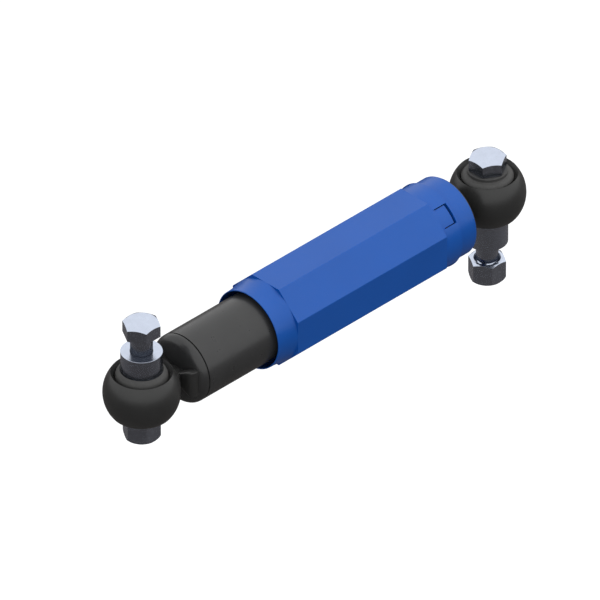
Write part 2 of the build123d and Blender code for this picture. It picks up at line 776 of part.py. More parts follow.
def dust_tube():
    across = 2 * DUST_OCTAGON_APOTHEM
    octagon = prism(across, 8, dust_octagon_start, dust_ring_start, DUST_OCTAGON_TURN, DUST_EDGE_ROUND)
    core_start = dust_octagon_start + DUST_CORE_MARGIN
    core_end = dust_ring_start - DUST_CORE_MARGIN
    octagon -= ring(dust_octagon_start, dust_ring_start, dust_bore_r)
    octagon -= prism(2 * dust_bore_r, 8, core_start, core_end, DUST_OCTAGON_TURN)
    end_ring = ring(dust_ring_start, dust_collar_start, DUST_OCTAGON_APOTHEM, dust_bore_r)
    collar = turned_x([
        (dust_collar_start, dust_bore_r),
        (dust_collar_start, dust_collar_r),
        (dust_end, dust_collar_r, DUST_RIM_ROUND),
        (dust_end, dust_bore_r),
    ])
    body = dust_flare() + octagon + end_ring + collar
    cut = tongue_cut()
    barb = tongue_barb()
    for index in range(TONGUE_COUNT):
        turn = Rot(TONGUE_FIRST_ANGLE + index * 360 / TONGUE_COUNT, 0, 0)
        body -= turn * cut
        body += turn * barb
    return body


def top_cap():
    """The steel cup on the rod: a flange against the dust tube's end and a grooved skirt inside it."""
    skirt_r = dust_bore_r - TOP_CAP_SKIRT_GAP
    inner_r = skirt_r - TOP_CAP_SKIRT_WALL
    skirt_start = dust_end - TOP_CAP_SKIRT_LENGTH
    groove_r = dust_bore_r - BARB_DEPTH - TOP_CAP_GROOVE_GAP
    groove_start = barb_start - TOP_CAP_GROOVE_GAP
    groove_end = tongue_tip + TOP_CAP_GROOVE_GAP
    return turned_x([
        (skirt_start, inner_r),
        (skirt_start, skirt_r),
        (groove_start, skirt_r),
        (groove_start, groove_r),
        (groove_end, groove_r),
        (groove_end, skirt_r),
        (dust_end, skirt_r),
        (dust_end, dust_bore_r),
        (top_face, dust_bore_r, TOP_CAP_FLANGE_ROUND),
        (top_face, ROD_R),
        (top_face - TOP_CAP_DISC, ROD_R),
        (top_face - TOP_CAP_DISC, inner_r),
    ])


def at_upper_end(piece):
    """Turns a piece of the lower eye's bush over and moves it to the upper eye."""
    return Pos(EYE_TO_EYE, 0, 0) * Rot(180, 0, 0) * piece


lower_head_seat = SLEEVE_SPACER_END + LOWER_SPACER_LENGTH + LOWER_BRACKET_GAP
lower_nut_top = -SLEEVE_COLLAR_END
upper_head_seat = SLEEVE_COLLAR_END
upper_nut_top = -(SLEEVE_SPACER_END + UPPER_SPACER_LENGTH + UPPER_BRACKET_GAP)
upper = Pos(EYE_TO_EYE, 0, 0)

nodes = {
    "lower_eye": lower_eye(),
    "base_cap": base_cap(),
    "reservoir_tube": reservoir_tube(),
    "pressure_tube": pressure_tube(),
    "foot_valve_body": foot_valve_body(),
    "foot_valve_pin": foot_valve_pin(),
    "foot_valve_shims": shims(valve_left, VALVE_PIN_R),
    "foot_valve_washer": shim_washer(valve_left, VALVE_PIN_R),
    "foot_valve_plate": check_plate(valve_right, VALVE_PIN_HUB_R),
    "foot_valve_spring": plate_spring(valve_right, VALVE_PIN_HUB_R, VALVE_PIN_HUB),
    "rod_guide": rod_guide(),
    "guide_bush": guide_bush(),
    "guide_o_ring": guide_o_ring(),
    "rod_seal": rod_seal(),
    "seal_spring": seal_spring(),
    "gland_cap": gland_cap(),
    "lower_bush": bush(),
    "lower_sleeve": sleeve(),
    "lower_spacer": spacer(LOWER_SPACER_LENGTH),
    "lower_bolt": bolt(LOWER_BOLT_LENGTH, lower_head_seat, LOWER_HEAD_TURN),
    "lower_nut": nut(lower_nut_top),
    "lower_nut_insert": nut_insert(lower_nut_top),
    "piston_rod": piston_rod(),
    "piston": piston(),
    "piston_band": piston_band(),
    "piston_shims": shims(piston_left, ROD_STEP_R),
    "piston_washer": shim_washer(piston_left, ROD_STEP_R),
    "piston_nut": piston_nut(),
    "piston_check_plate": check_plate(piston_right, RETAINER_HUB_R),
    "piston_check_spring": plate_spring(piston_right, RETAINER_HUB_R, RETAINER_HUB),
    "piston_retainer": piston_retainer(),
    "rebound_stop": rebound_stop(),
    "rebound_buffer": rebound_buffer(),
    "top_cap": top_cap(),
    "dust_tube": dust_tube(),
    "upper_eye": upper_eye(),
    "upper_bush": at_upper_end(bush()),
    "upper_sleeve": at_upper_end(sleeve()),
    "upper_spacer": at_upper_end(spacer(UPPER_SPACER_LENGTH)),
    "upper_bolt": upper * bolt(UPPER_BOLT_LENGTH, upper_head_seat, UPPER_HEAD_TURN),
    "upper_nut": upper * nut(upper_nut_top),
    "upper_nut_insert": upper * nut_insert(upper_nut_top),
}

os.makedirs("parts", exist_ok=True)
for name, piece in nodes.items():
    export_step(piece, f"parts/{name}.step")
    print(name, round(piece.volume, 1))
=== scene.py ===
import math

import bmesh
import bpy
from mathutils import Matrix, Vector


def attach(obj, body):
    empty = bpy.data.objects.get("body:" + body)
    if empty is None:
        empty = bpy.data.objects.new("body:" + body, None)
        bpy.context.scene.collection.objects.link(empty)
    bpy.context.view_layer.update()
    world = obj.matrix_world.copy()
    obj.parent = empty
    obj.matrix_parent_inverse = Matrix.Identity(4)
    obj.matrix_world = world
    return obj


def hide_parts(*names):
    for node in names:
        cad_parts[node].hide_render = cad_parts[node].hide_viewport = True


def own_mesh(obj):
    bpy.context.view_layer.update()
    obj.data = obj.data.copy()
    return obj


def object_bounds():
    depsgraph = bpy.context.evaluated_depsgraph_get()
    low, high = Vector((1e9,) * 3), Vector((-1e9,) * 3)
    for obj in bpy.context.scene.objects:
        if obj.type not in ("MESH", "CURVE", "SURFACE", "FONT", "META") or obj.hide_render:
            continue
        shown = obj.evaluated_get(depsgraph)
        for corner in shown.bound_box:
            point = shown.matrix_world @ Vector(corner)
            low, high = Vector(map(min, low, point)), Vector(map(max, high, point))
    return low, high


# Looks of a trailer shock absorber. Metres, in the frame of the solids: X runs from the lower eye to
# the upper one, Z runs up along the bolts, and the origin is the centre of the lower eye.

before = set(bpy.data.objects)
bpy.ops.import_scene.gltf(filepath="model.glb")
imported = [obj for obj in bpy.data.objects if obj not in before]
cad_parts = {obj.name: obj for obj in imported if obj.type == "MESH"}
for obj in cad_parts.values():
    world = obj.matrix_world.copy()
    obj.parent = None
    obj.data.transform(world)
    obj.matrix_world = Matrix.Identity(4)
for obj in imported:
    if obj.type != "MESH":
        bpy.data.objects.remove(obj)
bpy.context.view_layer.update()
cad_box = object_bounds()
object_low, object_high = cad_box
object_centre = (object_low + object_high) / 2

# Camera: an isometric view through a lens so long that it is nearly parallel, and the place in the
# picture where the lower eye's centre falls
CAMERA_AZIMUTH = -45.0
CAMERA_ELEVATION = 35.264
CAMERA_LENS_MM = 1650.0
CAMERA_SENSOR_MM = 36.0
CLIP_START_SHARE = 0.1
CLIP_END_SHARE = 2.0
VIEW_WIDTH = 0.368
PICTURE_SIDE_PX = 600.0
LOWER_EYE_PX = (142.5, 390.8)

# Floor: how far it is below the object, its side, its paleness as seen and as it lights the object,
# and its own glow
FLOOR_DROP = 0.36
FLOOR_SIZE = 40.0
FLOOR_PALE = 0.8
FLOOR_BOUNCE = 0.3
FLOOR_LIFT = 0.5

# Sky: how it lights the object, and what reflections past a certain depth find in its place
SKY_LEVEL = 0.5
SKY_COLOUR = (0.95, 0.97, 1.0)
SECOND_REFLECTION = 0.08
SECOND_DEPTH = 1.5

# Lamps: direction towards the lamp, its side, and how bright it makes a white surface that faces it
LAMP_DISTANCE = 2.5
KEY_DIRECTION = (0.40, -0.25, 0.88)
KEY_SIZE = 3.0
KEY_LEVEL = 0.55
FILL_DIRECTION = (-0.85, -0.45, 0.30)
FILL_SIZE = 2.0
FILL_LEVEL = 0.13

# Dark card just above the floor, seen only in reflections, and the length over which it fades
CARD_SIZE = 30.0
CARD_LIFT = 0.01
CARD_NEAR_COLOUR = (0.062, 0.057, 0.055)
CARD_FAR_COLOUR = (0.122, 0.113, 0.110)
CARD_FADE = 1.25

# Meshes: steps round a full turn, the angle in degrees from which an edge is sharp, how upright the
# normal of a level face is at least, and how near points are that get joined
TURN_STEPS = 96
SHARP_ANGLE = 25.0
LEVEL_NORMAL = 0.99999
SOLID_SEAM = 1e-7
THREAD_SEAM = 1e-6

# Eyes: the ball, and its raised rims whose insides slope down to the bore
UPPER_EYE_X = 0.3
EYE_BALL_R = 0.02409
BALL_STEPS = 32
RIM_R = 0.0191
RIM_MOUTH_R = 0.0175
RIM_MOUTH = 0.0123
EYE_BORE_R = 0.0171

# Necks: half width, half height and squareness, and where they start and end, from the eye's centre.
# The upper one goes into the cup, so that it covers the rod's end.
LOWER_NECK = (0.009, 0.0045, 4.0)
UPPER_NECK = (0.0065, 0.0062, 2.0)
NECK_START = 0.0185
LOWER_NECK_END = 0.0266
UPPER_NECK_END = 0.0355
NECK_STEPS = 32

# Feet: front and back from the eye's centre, corners, waist in the middle, and the front edge's rounding
LOWER_FOOT = (0.0244, 0.0355)
UPPER_FOOT = (0.0315, 0.0352)
FOOT_HALF_WIDTH = 0.0190
FOOT_CORNER_START = 0.0145
FOOT_CORNER_DEPTH = 0.0045
FOOT_TOP = 0.0090
FOOT_WAIST = 0.0035
FOOT_WAIST_START = 0.003
FOOT_WAIST_END = 0.0165
FOOT_EDGE = 0.0022
FOOT_CRISP_EDGE = 0.0004
FOOT_STEPS = 48
FOOT_EDGE_STEPS = 6

# Rubber bushes: a lip round the spacer's foot, a dome, a deep gap round it, and a collar on the far side
BUSH_BORE_R = 0.01005
BUSH_R = 0.01708
BUSH_GRIP = 0.008
BUSH_SEAT = 0.0153
LIP_R = 0.0131
LIP_TOP = 0.0171
LIP_CROWN_R = 0.0136
DOME_R = 0.0164
DOME_EDGE = 0.0127
DOME_BULGE = 0.0004
DOME_STEPS = 10
GAP_ROOT_R = 0.0164
GAP_ROOT = 0.009
COLLAR_R = 0.0127
COLLAR_END = 0.0177
COLLAR_FOOT = 0.0151
COLLAR_ROUND = 0.0004

# Spacers: bore and outer radius, how far the outer edges are broken, and where each starts and ends
# along its bolt
SPACER_BORE_R = 0.00725
SPACER_R = 0.013
SPACER_EDGE = 0.00012
SPACER_START = 0.0156
LOWER_SPACER_END = 0.0304
UPPER_SPACER_END = 0.0361

# Bolt threads, metric coarse for 14 mm: places along one turn as (share of the pitch, share of the depth).
# The thread starts to show half a pitch below its top and is full a pitch further down.
BOLT_R = 0.007
BOLT_TIP_R = 0.0058
THREAD_PITCH = 0.002
THREAD_DEPTH = 0.00122
THREAD_LENGTH = 0.014
THREAD_FORM = ((0.0, 0.0), (0.125, 0.0), (0.4375, 1.0), (0.6875, 1.0))
THREAD_FADE_START = 0.5
SPARE_TURNS = 2
LOWER_BOLT_TIP = -0.032
UPPER_BOLT_TIP = -0.062

# Colours, linear
WHITE = (1.0, 1.0, 1.0)
RESERVOIR_COLOUR = (0.046, 0.046, 0.046)
EYE_COLOUR = (0.039, 0.039, 0.038)
BLUE_COLOUR = (0.005, 0.111, 0.515)
RUBBER_COLOUR = (0.072, 0.071, 0.069)
ZINC_COLOUR = (0.63, 0.69, 0.82)
STEEL_COLOUR = (0.52, 0.51, 0.50)
IRON_COLOUR = (0.20, 0.195, 0.19)
NYLON_COLOUR = (0.72, 0.73, 0.70)
BRONZE_COLOUR = (0.58, 0.40, 0.20)
PTFE_COLOUR = (0.07, 0.12, 0.08)
CHROME_COLOUR = (0.78, 0.79, 0.80)

# Finishes: the middle of a noise's values, how far roughness strays, rubber's roughness and grain, the
# depth of paint's finer peel as a share of the other's, and how fine marks are along X, Y and Z
NOISE_LOW = 0.3
NOISE_HIGH = 0.7
ROUGHNESS_SWING = 0.03
METAL_SMOOTHER = 0.04
METAL_ROUGHER = 0.05
RUBBER_ROUGHNESS = (0.52, 0.64)
RUBBER_GRAIN = 0.00001
FINE_PEEL_SHARE = 0.2
TURNED_MARKS = (0.15, 0.15, 2.5)
DRAWN_MARKS = (0.1, 2.0, 2.0)
ROD_MARKS = (0.2, 2.0, 2.0)

# Solids that show as they are, by finish
DRESSED = {
    "black": ("top_cap",),
    "tube": ("base_cap", "reservoir_tube"),
    "blue": ("dust_tube",),
    "rubber": ("guide_o_ring", "rod_seal", "rebound_buffer"),
    "plated": ("lower_nut", "upper_nut"),
    "turned": ("lower_sleeve", "upper_sleeve"),
    "drawn": (
        "pressure_tube",
        "gland_cap",
        "seal_spring",
        "foot_valve_pin",
        "foot_valve_shims",
        "foot_valve_washer",
        "foot_valve_plate",
        "piston_shims",
        "piston_washer",
        "piston_nut",
        "piston_check_plate",
        "piston_retainer",
        "rebound_stop",
    ),
    "sintered": ("foot_valve_body", "rod_guide", "piston"),
    "bronze": ("guide_bush",),
    "chrome": ("piston_rod",),
    "nylon": ("lower_nut_insert", "upper_nut_insert"),
    "ptfe": ("piston_band",),
}


class Nodes:
    """A material's node tree with short calls for the nodes that the finishes share."""

    def __init__(self, name):
        self.material = bpy.data.materials.new(name)
        self.material.use_nodes = True
        self.tree = self.material.node_tree
        self.shader = self.tree.nodes["Principled BSDF"]
        self.place = self.tree.nodes.new("ShaderNodeTexCoord").outputs["Object"]

    def link(self, output, target):
        self.tree.links.new(output, target)

    def noise(self, scale, detail, stretch=(1, 1, 1)):
        mapping = self.tree.nodes.new("ShaderNodeMapping")
        mapping.inputs["Scale"].default_value = stretch
        self.link(self.place, mapping.inputs["Vector"])
        node = self.tree.nodes.new("ShaderNodeTexNoise")
        node.inputs["Scale"].default_value = scale
        node.inputs["Detail"].default_value = detail
        self.link(mapping.outputs["Vector"], node.inputs["Vector"])
        return node.outputs["Fac"]

    def spread(self, value, low, high):
        """Maps the middle of a noise to a range."""
        node = self.tree.nodes.new("ShaderNodeMapRange")
        node.inputs["From Min"].default_value = NOISE_LOW
        node.inputs["From Max"].default_value = NOISE_HIGH
        node.inputs["To Min"].default_value = low
        node.inputs["To Max"].default_value = high
        self.link(value, node.inputs["Value"])
        return node.outputs["Result"]

    def colour(self, value, base, swing):
        """Colours the surface round base, darker and lighter by swing with a noise."""
        node = self.tree.nodes.new("ShaderNodeMix")
        node.data_type = "RGBA"
        node.inputs["A"].default_value = (*[channel * (1 - swing) for channel in base], 1)
        node.inputs["B"].default_value = (*[channel * (1 + swing) for channel in base], 1)
        self.link(self.spread(value, 0, 1), node.inputs["Factor"])
        self.link(node.outputs["Result"], self.shader.inputs["Base Color"])

    def roughness(self, value, low, high):
        self.link(self.spread(value, low, high), self.shader.inputs["Roughness"])

    def bump(self, value, depth):
        """Adds a relief on top of those that the surface has already."""
        node = self.tree.nodes.new("ShaderNodeBump")
        node.inputs["Strength"].default_value = 1.0
        node.inputs["Distance"].default_value = depth
        self.link(value, node.inputs["Height"])
        earlier = self.shader.inputs["Normal"].links
        if earlier:
            self.link(earlier[0].from_socket, node.inputs["Normal"])
        self.link(node.outputs["Normal"], self.shader.inputs["Normal"])


def paint(name, base, roughness, peel):
    """Sprayed paint with a faint orange peel."""
    nodes = Nodes(name)
    nodes.colour(nodes.noise(scale=60, detail=3), base, swing=0.06)
    sheen = nodes.noise(scale=110, detail=4)
    nodes.roughness(sheen, roughness - ROUGHNESS_SWING, roughness + ROUGHNESS_SWING)
    nodes.bump(nodes.noise(scale=700, detail=2), peel)
    nodes.bump(nodes.noise(scale=4200, detail=1), peel * FINE_PEEL_SHARE)
    return nodes.material


def moulded_plastic(name, base, roughness, grain):
    """Moulded plastic with a fine spark-eroded grain."""
    nodes = Nodes(name)
    nodes.colour(nodes.noise(scale=35, detail=2), base, swing=0.025)
    sheen = nodes.noise(scale=180, detail=3)
    nodes.roughness(sheen, roughness - ROUGHNESS_SWING, roughness + ROUGHNESS_SWING)
    nodes.bump(nodes.noise(scale=3200, detail=2), grain)
    return nodes.material


def rubber(name, base):
    """Moulded rubber: matt, with a fine speckle."""
    nodes = Nodes(name)
    nodes.colour(nodes.noise(scale=900, detail=4), base, swing=0.12)
    nodes.roughness(nodes.noise(scale=300, detail=3), *RUBBER_ROUGHNESS)
    nodes.bump(nodes.noise(scale=2600, detail=3), RUBBER_GRAIN)
    return nodes.material


def metal(name, base, roughness, grain, stretch=(1, 1, 1), swing=0.03):
    """Bare or plated metal, with a grain that a stretch can turn into drawn or turned marks."""
    nodes = Nodes(name)
    nodes.shader.inputs["Metallic"].default_value = 1.0
    nodes.colour(nodes.noise(scale=240, detail=3), base, swing)
    sheen = nodes.noise(scale=500, detail=3, stretch=stretch)
    nodes.roughness(sheen, roughness - METAL_SMOOTHER, roughness + METAL_ROUGHER)
    nodes.bump(nodes.noise(scale=2400, detail=2, stretch=stretch), grain)
    return nodes.material


def finishes():
    """The finishes by name."""
    return {
        "black": paint("black_paint", EYE_COLOUR, roughness=0.32, peel=0.000012),
        "tube": paint("black_tube_paint", RESERVOIR_COLOUR, roughness=0.30, peel=0.000008),
        "blue": moulded_plastic("blue_plastic", BLUE_COLOUR, roughness=0.32, grain=0.000005),
        "rubber": rubber("rubber", RUBBER_COLOUR),
        "plated": metal("zinc_plate", ZINC_COLOUR, roughness=0.20, grain=0.000003),
        "turned": metal(
            "turned_zinc_plate", ZINC_COLOUR, roughness=0.22, grain=0.000004, stretch=TURNED_MARKS
        ),
        "drawn": metal("drawn_steel", STEEL_COLOUR, roughness=0.32, grain=0.000004, stretch=DRAWN_MARKS),
        "sintered": metal("sintered_iron", IRON_COLOUR, roughness=0.5, grain=0.00001, swing=0.15),
        "bronze": metal("bronze", BRONZE_COLOUR, roughness=0.35, grain=0.000004),
        "chrome": metal("chromed_rod", CHROME_COLOUR, roughness=0.10, grain=0.000001, stretch=ROD_MARKS),
        "nylon": moulded_plastic("nylon", NYLON_COLOUR, roughness=0.45, grain=0.000004),
        "ptfe": moulded_plastic("ptfe", PTFE_COLOUR, roughness=0.5, grain=0.000004),
    }


def dress_solids(materials):
    """Gives the solids that show as they are their finishes."""
    for finish, names in DRESSED.items():
        for name in names:
            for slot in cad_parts[name].material_slots:
                slot.material = materials[finish]


def finished(mesh):
    """Smooth shading with sharp edges and level faces kept, and every face turned outwards."""
    work = bmesh.new()
    work.from_mesh(mesh)
    bmesh.ops.recalc_face_normals(work, faces=work.faces)
    work.to_mesh(mesh)
    work.free()
    for face in mesh.polygons:
        face.use_smooth = abs(face.normal.z) < LEVEL_NORMAL
    mesh.set_sharp_from_angle(angle=math.radians(SHARP_ANGLE))
    return mesh


def add_piece(name, mesh, body, material):
    """Makes a piece that rides on a body and takes the given material."""
    mesh.materials.clear()
    mesh.materials.append(material)
    piece = bpy.data.objects.new(name, finished(mesh))
    bpy.context.scene.collection.objects.link(piece)
    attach(piece, body)
    return piece


def turned(name, profile, centre_x, side):
    """A ring round an eye's axis from a closed profile of (radius, height) points. Side -1 turns it over."""
    points = []
    faces = []
    count = len(profile)
    for step in range(TURN_STEPS):
        angle = 2 * math.pi * step / TURN_STEPS
        near = step * count
        far = (step + 1) % TURN_STEPS * count
        for index, (radius, height) in enumerate(profile):
            after = (index + 1) % count
            points.append((centre_x + radius * math.cos(angle), radius * math.sin(angle), side * height))
            faces.append((near + index, far + index, far + after, near + after))
    mesh = bpy.data.meshes.new(name)
    mesh.from_pydata(points, [], faces)
    return mesh


def add_loft(work, loops):
    """Skins closed loops of points into a solid with flat ends."""
    rings = [[work.verts.new(point) for point in loop] for loop in loops]
    count = len(rings[0])
    for near, far in zip(rings, rings[1:]):
        for index in range(count):
            after = (index + 1) % count
            work.faces.new((near[index], far[index], far[after], near[after]))
    work.faces.new(rings[0])
    work.faces.new(rings[-1])


def power(value, exponent):
    """A power that keeps the sign of the value."""
    return math.copysign(abs(value) ** exponent, value)


def smooth_share(value, start, end):
    """Rises smoothly from 0 at start to 1 at end."""
    share = min(1, max(0, (value - start) / (end - start)))
    return share * share * (3 - 2 * share)


def bulged(start, end, bulge, steps):
    """Points from start to end on a shallow curve that bulges outwards at its middle."""
    run = (end[0] - start[0], end[1] - start[1])
    length = math.hypot(*run)
    normal = (-run[1] / length, run[0] / length)
    points = []
    for step in range(steps + 1):
        share = step / steps
        rise = bulge * 4 * share * (1 - share)
        points.append(tuple(start[axis] + run[axis] * share + normal[axis] * rise for axis in (0, 1)))
    return points


def trim(work, centre_x, height, below):
    """Cuts off what is below a height, or above it, and returns the edges of the cut."""
    cut = bmesh.ops.bisect_plane(
        work,
        geom=[*work.verts, *work.edges, *work.faces],
        plane_co=(centre_x, 0, height),
        plane_no=(0, 0, 1),
        clear_inner=below,
        clear_outer=not below,
    )
    return [item for item in cut["geom_cut"] if isinstance(item, bmesh.types.BMEdge)]


def solid_copy(node):
    """A node's mesh to work on, in the frame of the whole object."""
    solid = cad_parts[node]
    work = bmesh.new()
    work.from_mesh(solid.data)
    bmesh.ops.transform(work, matrix=solid.matrix_world, verts=work.verts)
    bmesh.ops.remove_doubles(work, verts=work.verts, dist=SOLID_SEAM)
    return work


def plain_mesh(work, name):
    """Turns the work into a mesh without the shading normals of the solid it came from."""
    mesh = bpy.data.meshes.new(name)
    work.to_mesh(mesh)
    work.free()
    old_normals = mesh.attributes.get("custom_normal")
    if old_normals:
        mesh.attributes.remove(old_normals)
    return mesh


def threaded_part(centre_x, tip):
    """The last part of a bolt with a real right-hand thread, which fades out at its top."""
    top = tip + THREAD_LENGTH
    turns = math.ceil(THREAD_LENGTH / THREAD_PITCH) + SPARE_TURNS
    rows = [(turn + place, depth) for turn in range(turns) for place, depth in THREAD_FORM]
    work = bmesh.new()
    columns = []
    for step in range(TURN_STEPS + 1):
        share = step / TURN_STEPS
        angle = 2 * math.pi * share
        column = []
        for place, depth in rows:
            z = tip + (place + share - 1) * THREAD_PITCH
            fade = min(1, max(0, (top - z) / THREAD_PITCH - THREAD_FADE_START))
            radius = min(BOLT_R - THREAD_DEPTH * depth * fade, BOLT_TIP_R + max(0, z - tip))
            column.append(work.verts.new((centre_x + radius * math.cos(angle), radius * math.sin(angle), z)))
        columns.append(column)
    for left, right in zip(columns, columns[1:]):
        for index in range(len(rows) - 1):
            work.faces.new((left[index], right[index], right[index + 1], left[index + 1]))
    bmesh.ops.remove_doubles(work, verts=work.verts, dist=THREAD_SEAM)
    trim(work, centre_x, top, below=False)
    ends = trim(work, centre_x, tip, below=True)
    bmesh.ops.edgeloop_fill(work, edges=ends)
    return work


def bolt_mesh(node, centre_x, tip):
    """The solid's own head and bare shank, with the threaded part in place of its end."""
    threads = bpy.data.meshes.new(node + "_thread")
    spare = threaded_part(centre_x, tip)
    spare.to_mesh(threads)
    spare.free()
    work = solid_copy(node)
    trim(work, centre_x, tip + THREAD_LENGTH, below=True)
    work.from_mesh(threads)
    return plain_mesh(work, node + "_threaded")


def add_bolts(material):
    """Bolts with real threads in place of the plain solids."""
    for end, centre_x, tip in (("lower", 0, LOWER_BOLT_TIP), ("upper", UPPER_EYE_X, UPPER_BOLT_TIP)):
        node = end + "_bolt"
        piece = add_piece(node + "_threaded", bolt_mesh(node, centre_x, tip), node, material)
        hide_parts(node)


def spacer_profile(end):
    """A tube with barely broken outer edges."""
    return [
        (SPACER_BORE_R, SPACER_START),
        (SPACER_R - SPACER_EDGE, SPACER_START),
        (SPACER_R, SPACER_START + SPACER_EDGE),
        (SPACER_R, end - SPACER_EDGE),
        (SPACER_R - SPACER_EDGE, end),
        (SPACER_BORE_R, end),
    ]


def add_spacers(material):
    """Spacers with crisper edges than the solids have."""
    places = (
        ("lower", 0, 1, LOWER_SPACER_END),
        ("upper", UPPER_EYE_X, -1, UPPER_SPACER_END),
    )
    for end, centre_x, side, top in places:
        node = end + "_spacer"
        mesh = turned(node + "_turned", spacer_profile(top), centre_x, side)
        piece = add_piece(node + "_turned", mesh, end + "_mount", material)
        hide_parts(node)


def bush_profile():
    """The bush with its lip and dome upwards and its collar downwards."""
    dome = bulged((LIP_CROWN_R, LIP_TOP), (DOME_R, DOME_EDGE), DOME_BULGE, DOME_STEPS)
    shoulder = bulged((DOME_R, -DOME_EDGE), (COLLAR_R + COLLAR_ROUND, -COLLAR_FOOT), DOME_BULGE, DOME_STEPS)
    upper = [(BUSH_BORE_R, BUSH_SEAT), (LIP_R, BUSH_SEAT), (LIP_R, LIP_TOP - DOME_BULGE)] + dome
    gaps = [(GAP_ROOT_R, GAP_ROOT), (BUSH_R, BUSH_GRIP), (BUSH_R, -BUSH_GRIP), (GAP_ROOT_R, -GAP_ROOT)]
    collar = [(COLLAR_R, -COLLAR_FOOT - COLLAR_ROUND), (COLLAR_R, COLLAR_ROUND - COLLAR_END)]
    collar += [(COLLAR_R - COLLAR_ROUND, -COLLAR_END), (BUSH_BORE_R, -COLLAR_END)]
    return upper + gaps + shoulder + collar


def add_bushes(material):
    """Moulded rubber bushes in place of the plain solids."""
    for end, body, centre_x, side in (("lower", "cylinder", 0, 1), ("upper", "rod", UPPER_EYE_X, -1)):
        node = end + "_bush"
        mesh = turned(node + "_moulded", bush_profile(), centre_x, side)
        piece = add_piece(node + "_moulded", mesh, body, material)
        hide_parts(node)


def ball_profile():
    """The ball between its two raised rims, their inner slopes and the bore."""
    reach = math.acos(RIM_R / EYE_BALL_R)
    angles = [reach * (2 * step / BALL_STEPS - 1) for step in range(BALL_STEPS + 1)]
    outside = [(EYE_BALL_R * math.cos(angle), EYE_BALL_R * math.sin(angle)) for angle in angles]
    bore = RIM_MOUTH - (RIM_MOUTH_R - EYE_BORE_R)
    inside = [(RIM_MOUTH_R, RIM_MOUTH), (EYE_BORE_R, bore), (EYE_BORE_R, -bore), (RIM_MOUTH_R, -RIM_MOUTH)]
    return outside + inside


def neck_loops(centre_x, side, shape, end):
    """The neck's start inside the ball and its end."""
    half_width, half_height, squareness = shape
    outline = []
    for step in range(NECK_STEPS):
        angle = 2 * math.pi * step / NECK_STEPS
        y = half_width * power(math.cos(angle), 2 / squareness)
        z = half_height * power(math.sin(angle), 2 / squareness)
        outline.append((y, z))
    return [[(centre_x + side * x, y, z) for y, z in outline] for x in (NECK_START, end)]


def foot_loops(centre_x, side, place):
    """The foot across the neck, waisted in its middle, with round corners and a softened front edge."""
    front, back = place
    loops = []
    for step in range(FOOT_STEPS + 1):
        y = FOOT_HALF_WIDTH * math.sin(math.pi * (step / FOOT_STEPS - 0.5))
        corner = max(0, abs(y) - FOOT_CORNER_START) / (FOOT_HALF_WIDTH - FOOT_CORNER_START)
        depth = min(FOOT_CORNER_DEPTH, back - front)
        face = front + depth * (1 - math.sqrt(max(0, 1 - corner * corner)))
        top = FOOT_WAIST + (FOOT_TOP - FOOT_WAIST) * smooth_share(abs(y), FOOT_WAIST_START, FOOT_WAIST_END)
        crisp = smooth_share(abs(y), FOOT_CORNER_START, FOOT_HALF_WIDTH)
        edge = FOOT_EDGE + (FOOT_CRISP_EDGE - FOOT_EDGE) * crisp
        arc = [math.pi / 2 * index / FOOT_EDGE_STEPS for index in range(FOOT_EDGE_STEPS + 1)]
        upper = [(face + edge * (1 - math.sin(angle)), top - edge * (1 - math.cos(angle))) for angle in arc]
        lower = [(x, -z) for x, z in reversed(upper)]
        outline = [(back, top)] + upper + lower + [(back, -top)]
        loops.append([(centre_x + side * x, y, z) for x, z in outline])
    return loops


def add_eyes(material):
    """Forged eyes in place of the solids, with raised rims, a rounded neck and a soft foot."""
    shapes = (
        ("lower", "cylinder", 0, 1, LOWER_NECK, LOWER_NECK_END, LOWER_FOOT),
        ("upper", "rod", UPPER_EYE_X, -1, UPPER_NECK, UPPER_NECK_END, UPPER_FOOT),
    )
    for end, body, centre_x, side, neck, neck_end, foot in shapes:
        node = end + "_eye"
        mesh = turned(node + "_forged", ball_profile(), centre_x, 1)
        work = bmesh.new()
        work.from_mesh(mesh)
        add_loft(work, neck_loops(centre_x, side, neck, neck_end))
        add_loft(work, foot_loops(centre_x, side, foot))
        work.to_mesh(mesh)
        work.free()
        piece = add_piece(node + "_forged", mesh, body, material)
        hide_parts(node)


def add_valve_springs(material):
    """The springs over the check plates, as plain copies of their solids."""
    springs = (
        ("foot_valve_spring", "cylinder", "foot_valve_lift"),
        ("piston_check_spring", "rod", "piston_check_lift"),
    )
    for node, body, joint in springs:
        mesh = plain_mesh(solid_copy(node), node + "_soft")
        piece = add_piece(node + "_soft", mesh, body, material)
        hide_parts(node)
        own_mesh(piece)


def camera_axes():
    """The camera's right, up and back directions."""
    azimuth = math.radians(CAMERA_AZIMUTH)
    elevation = math.radians(CAMERA_ELEVATION)
    back = Vector((
        math.sin(azimuth) * math.cos(elevation),
        -math.cos(azimuth) * math.cos(elevation),
        math.sin(elevation),
    ))
    right = Vector((math.cos(azimuth), math.sin(azimuth), 0))
    return right, back.cross(right), back


